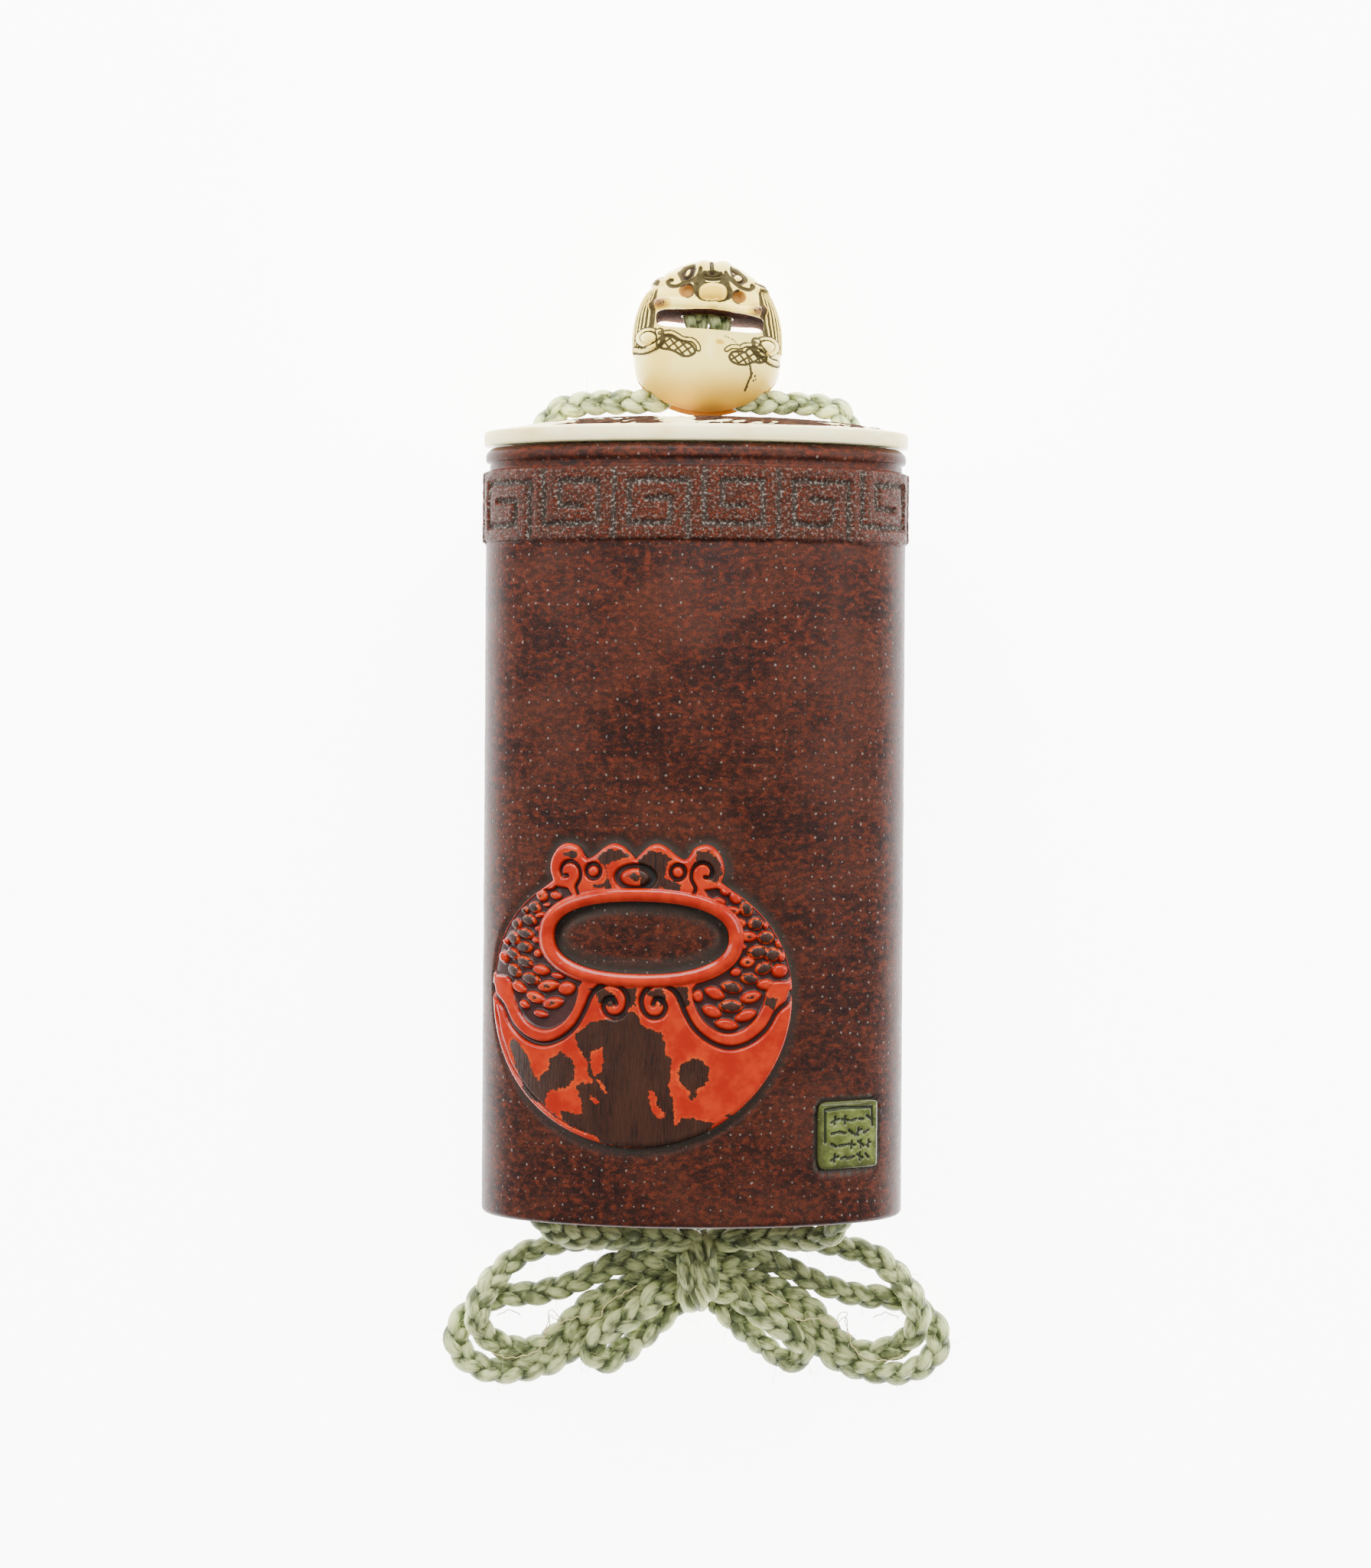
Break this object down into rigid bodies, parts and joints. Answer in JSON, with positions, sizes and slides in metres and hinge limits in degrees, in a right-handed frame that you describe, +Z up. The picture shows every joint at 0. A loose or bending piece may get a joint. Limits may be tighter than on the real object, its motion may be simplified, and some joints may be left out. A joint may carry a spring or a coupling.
{
  "type": "tobacco container",
  "caption": "Oval lacquered box with a key-fret band, a domed lid, a fish-drum bead on a braided silk cord and a carved fish-drum relief, lying on its back with its cord tied in a bow.",
  "frame": {"origin": "on the floor, under the middle of the box with its lid and bead, the cord left out", "axes": "+Y from the box's base to the bead, +Z up out of the carved front, +X to the right seen from the front"},
  "size_m": [0.0676, 0.1521, 0.0294],
  "materials": {
    "lacquer": "satin",
    "lid_ivory": "satin",
    "relief": "satin",
    "seal": "gloss",
    "bead_ivory": "gloss",
    "silk": "matte"
  },
  "bodies": {
    "root": {"container_body": "lacquer", "lid": "lid_ivory", "fish_drum_relief": "relief", "seal_inlay": "seal", "fish_drum_bead": "bead_ivory", "cord_left": "silk", "cord_right": "silk", "bow_left": "silk", "bow_right": "silk", "bow_knot": "silk"}
  },
  "joints": []
}
